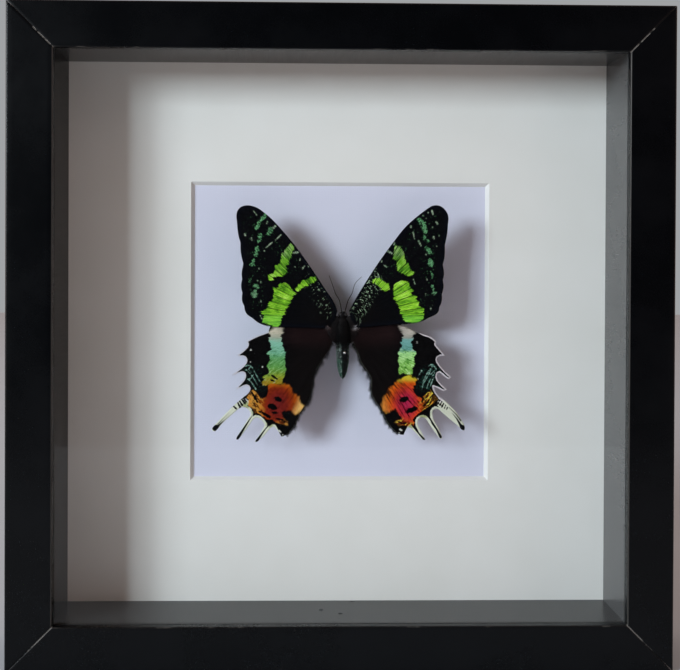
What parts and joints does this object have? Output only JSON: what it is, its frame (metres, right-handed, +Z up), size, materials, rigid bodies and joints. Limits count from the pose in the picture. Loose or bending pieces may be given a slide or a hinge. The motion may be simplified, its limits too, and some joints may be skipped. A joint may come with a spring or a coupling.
{
  "type": "framed butterfly specimen",
  "caption": "Spread sunset moth pinned to lavender card behind a square mat window, in a deep black box frame with clear glazing.",
  "frame": {"origin": "centre of the bottom edge's footprint, on the surface the frame stands on", "axes": "+Z up, -Y out of the glazed front, +X to the right seen from the front"},
  "size_m": [0.25, 0.045, 0.25],
  "materials": {
    "black_foil": "satin black foil over fibreboard",
    "clear_glazing": "polished clear sheet",
    "black_spacer": "matt black painted wood fibre",
    "mat_paper": "smooth off-white mat board",
    "lavender_card": "linen-textured pale lavender card",
    "foam_white": "white foam board",
    "hardboard": "brown hardboard",
    "bright_steel": "plated steel",
    "wing_scales": "iridescent wing scales over black",
    "body_fur": "short black fur and scales"
  },
  "bodies": {
    "root": {"rail_top": "black_foil", "rail_bottom": "black_foil", "rail_left": "black_foil", "rail_right": "black_foil", "glazing": "clear_glazing", "spacer_top": "black_spacer", "spacer_bottom": "black_spacer", "spacer_left": "black_spacer", "spacer_right": "black_spacer", "mat_board": "mat_paper", "backing_card": "lavender_card", "foam_board": "foam_white", "back_board": "hardboard", "retaining_tab_top_a": "bright_steel", "retaining_tab_top_b": "bright_steel", "retaining_tab_bottom_a": "bright_steel", "retaining_tab_bottom_b": "bright_steel", "retaining_tab_left_a": "bright_steel", "retaining_tab_left_b": "bright_steel", "retaining_tab_right_a": "bright_steel", "retaining_tab_right_b": "bright_steel", "sawtooth_hanger": "bright_steel", "hanger_rivet_left": "bright_steel", "hanger_rivet_right": "bright_steel", "moth_body": "body_fur", "antenna_left": "body_fur", "forewing_left": "wing_scales", "hindwing_left": "wing_scales", "antenna_right": "body_fur", "forewing_right": "wing_scales", "hindwing_right": "wing_scales", "pin": "bright_steel"}
  },
  "joints": []
}
